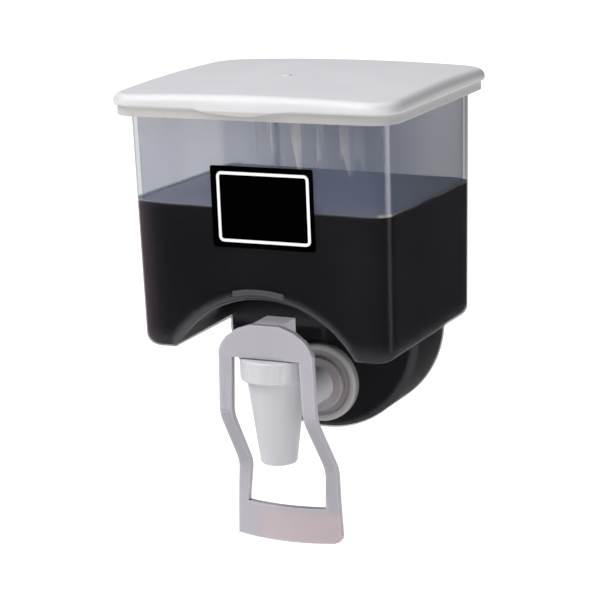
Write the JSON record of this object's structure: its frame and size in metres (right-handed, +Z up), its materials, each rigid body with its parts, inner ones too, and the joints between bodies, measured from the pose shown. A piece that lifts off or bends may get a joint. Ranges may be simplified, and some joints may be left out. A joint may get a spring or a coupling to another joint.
{
  "type": "wall-hung liquid feed dispenser",
  "caption": "Wall-hung gravity dispenser for liquid feed: translucent tank with a press-on lid, and a push-lever tap that opens a spring-closed valve under the tank.",
  "frame": {"origin": "centre of the hanger plate's back face, where it lies on the wall", "axes": "+X to the right seen from the front, +Y back into the wall, +Z up"},
  "size_m": [0.1258, 0.1116, 0.1909],
  "materials": {
    "hanger_plastic": "moulded, fine satin grain",
    "tank_plastic": "translucent smoky polypropylene, moulded, slightly hazy",
    "lid_plastic": "opaque white moulding, low gloss",
    "label_film": "black film",
    "label_ink": "printed line",
    "tap_plastic": "off-white acetal, moulded",
    "seal_silicone": "translucent silicone",
    "steel": "stainless",
    "stem_plastic": "acetal",
    "lever_plastic": "off-white moulding, fairly glossy"
  },
  "bodies": {
    "hanger": {"wall_plate": "hanger_plastic"},
    "tank": {"tank": "tank_plastic", "label_plate": "label_film", "label_outline": "label_ink", "tap_body": "tap_plastic", "bonnet_cap": "tap_plastic", "outer_seal_washer": "seal_silicone", "inner_seal_washer": "seal_silicone", "lock_nut": "tap_plastic", "bonnet_seal": "seal_silicone", "stem_seal": "seal_silicone", "spring_seat": "steel", "return_spring": "steel"},
    "lid": {"lid": "lid_plastic"},
    "stem": {"valve_stem": "stem_plastic", "valve_plug": "seal_silicone"},
    "lever": {"lever": "lever_plastic", "lever_pin": "steel"}
  },
  "joints": [
    {"name": "tank_lift", "type": "slide", "parent": "hanger", "child": "tank", "axis": [0, 0, 1], "range_m": [0, 0.042]},
    {"name": "lid_lift", "type": "slide", "parent": "tank", "child": "lid", "axis": [0, 0, 1], "range_m": [0, 0.06]},
    {"name": "stem_lift", "type": "slide", "parent": "tank", "child": "stem", "axis": [0, 0, 1], "range_m": [0, 0.003], "deforming": ["return_spring"]},
    {"name": "lever_push", "type": "hinge", "parent": "stem", "child": "lever", "pos_m": [0, -0.09055, -0.0225], "axis": [1, 0, 0], "range_deg": [0, 18], "stiffness_Nm_per_rad": 0.15, "springref_deg": -17.19}
  ],
  "couplings": [
    {"joint": "stem_lift", "follows": "lever_push", "m_per_rad": 0.0085}
  ]
}
